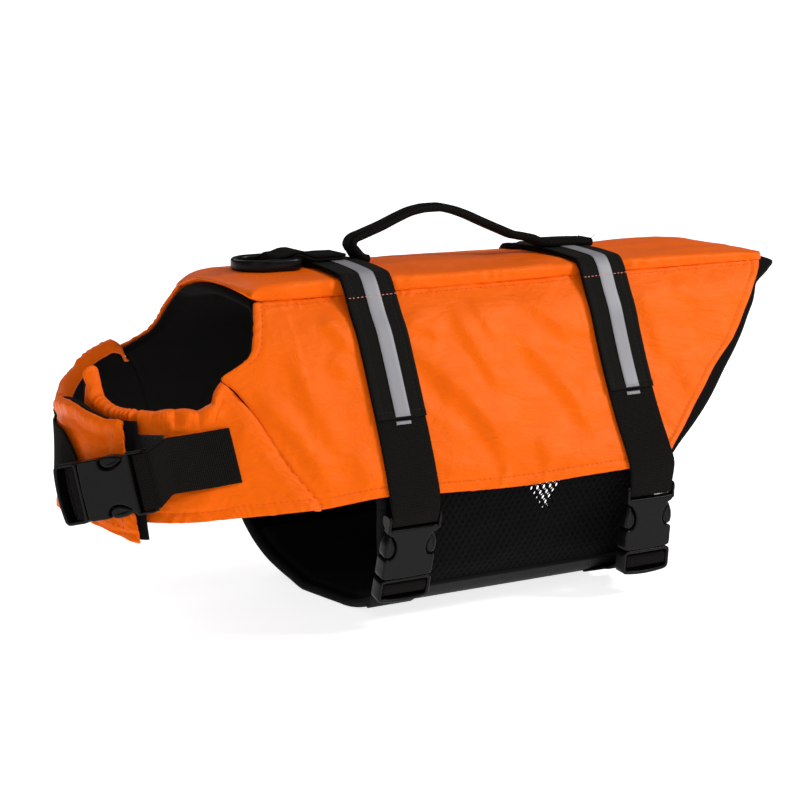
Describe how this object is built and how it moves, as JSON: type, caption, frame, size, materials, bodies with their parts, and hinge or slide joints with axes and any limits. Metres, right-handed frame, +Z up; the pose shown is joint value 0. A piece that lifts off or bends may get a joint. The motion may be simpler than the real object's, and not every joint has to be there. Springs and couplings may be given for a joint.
{
  "type": "dog life jacket",
  "caption": "Padded dog flotation vest with wrap-over chest flaps, mesh belly, webbing straps, side-release buckles, a lead ring and a lift handle.",
  "frame": {"origin": "centre of the jacket's length and width, on the surface that the belly base stands on", "axes": "+X towards the dog's tail, along the jacket's length; +Y towards the dog's right; +Z up, from the belly base to the handle. The side with the buckles faces -Y."},
  "size_m": [0.615, 0.248, 0.2882],
  "materials": {
    "orange_oxford_nylon": "tightly woven coated nylon with a slight sheen",
    "black_lining_cloth": "matt black lining cloth over closed-cell foam",
    "black_mesh_cloth": "black hexagonal mesh cloth",
    "black_webbing": "ribbed black polyester webbing",
    "black_acetal": "moulded black acetal, satin"
  },
  "bodies": {
    "root": {"back_slab": "orange_oxford_nylon", "side_cover_left": "orange_oxford_nylon", "side_cover_right": "orange_oxford_nylon", "flap_cover_left": "orange_oxford_nylon", "flap_cover_right": "orange_oxford_nylon", "body_lining": "black_lining_cloth", "flap_lining_left": "black_lining_cloth", "flap_lining_right": "black_lining_cloth", "belly_base": "black_lining_cloth", "front_band": "black_lining_cloth", "rear_band": "black_lining_cloth", "belly_mesh_left": "black_mesh_cloth", "belly_mesh_right": "black_mesh_cloth", "belly_binding_front": "black_webbing", "belly_binding_rear": "black_webbing", "front_strap": "black_webbing", "rear_strap": "black_webbing", "front_belly_strap": "black_webbing", "rear_belly_strap": "black_webbing", "chest_strap_left": "black_webbing", "chest_strap_right": "black_webbing", "ring_webbing": "black_webbing", "handle": "black_webbing", "front_buckle_female": "black_acetal", "front_buckle_male": "black_acetal", "rear_buckle_female": "black_acetal", "rear_buckle_male": "black_acetal", "chest_buckle_female": "black_acetal", "chest_buckle_male": "black_acetal", "lead_ring": "black_acetal"}
  },
  "joints": []
}
